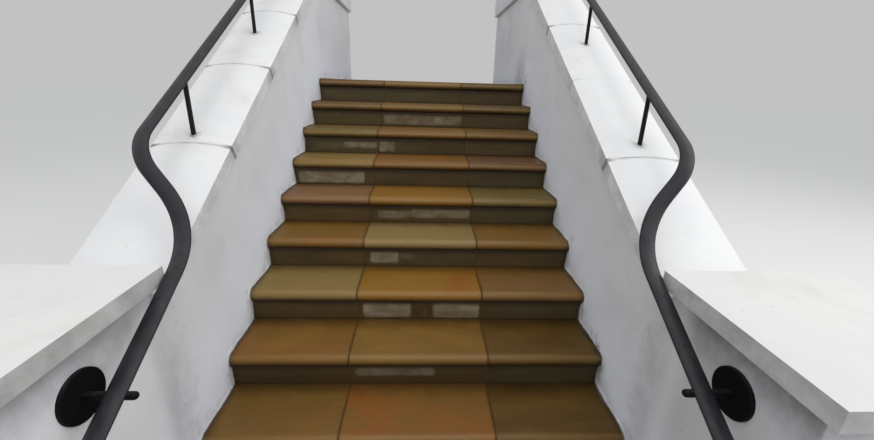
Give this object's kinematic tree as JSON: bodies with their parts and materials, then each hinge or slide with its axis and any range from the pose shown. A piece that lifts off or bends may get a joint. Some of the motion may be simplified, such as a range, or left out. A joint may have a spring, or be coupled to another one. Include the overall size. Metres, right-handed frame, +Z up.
{
  "type": "outdoor stone steps",
  "caption": "Straight flight of sandstone steps up to a landing, between white rendered side walls with sloped copings, square pedestals at the foot and a metal handrail on each side.",
  "frame": {"origin": "on the ground, on the flight's centre line, plumb under the front edge of the landing's nosing", "axes": "+Z up, +Y level towards the house wall that the landing meets, so the flight comes down towards -Y; +X to the right of someone who climbs the steps"},
  "size_m": [2.23, 3.712, 2.611],
  "materials": {
    "sandstone": "worn riven sandstone, damp",
    "riser_stone": "sawn sandstone with patches of dried cement, damp and dirty",
    "masonry": "rough rubble masonry in lime mortar",
    "white_render": "white masonry paint on smooth cement render",
    "white_coping": "white masonry paint on cast stone",
    "rail_paint": "satin dark grey paint on a steel bar",
    "black_paint": "matt black paint on steel"
  },
  "bodies": {
    "root": {"tread_1": "sandstone", "tread_2": "sandstone", "tread_3": "sandstone", "tread_4": "sandstone", "tread_5": "sandstone", "tread_6": "sandstone", "tread_7": "sandstone", "tread_8": "sandstone", "tread_9": "sandstone", "tread_10": "sandstone", "landing_nosing": "sandstone", "landing_flags": "sandstone", "riser_1": "riser_stone", "riser_2": "riser_stone", "riser_3": "riser_stone", "riser_4": "riser_stone", "riser_5": "riser_stone", "riser_6": "riser_stone", "riser_7": "riser_stone", "riser_8": "riser_stone", "riser_9": "riser_stone", "riser_10": "riser_stone", "riser_11": "riser_stone", "masonry_core": "masonry", "left_wall": "white_render", "left_pedestal": "white_render", "left_coping": "white_coping", "left_parapet": "white_coping", "left_parapet_cap": "white_coping", "left_pedestal_cap": "white_coping", "left_handrail": "rail_paint", "left_posts": "black_paint", "left_bracket": "black_paint", "left_end_plate": "black_paint", "right_wall": "white_render", "right_pedestal": "white_render", "right_coping": "white_coping", "right_parapet": "white_coping", "right_parapet_cap": "white_coping", "right_pedestal_cap": "white_coping", "right_handrail": "rail_paint", "right_posts": "black_paint", "right_bracket": "black_paint", "right_end_plate": "black_paint"}
  },
  "joints": []
}
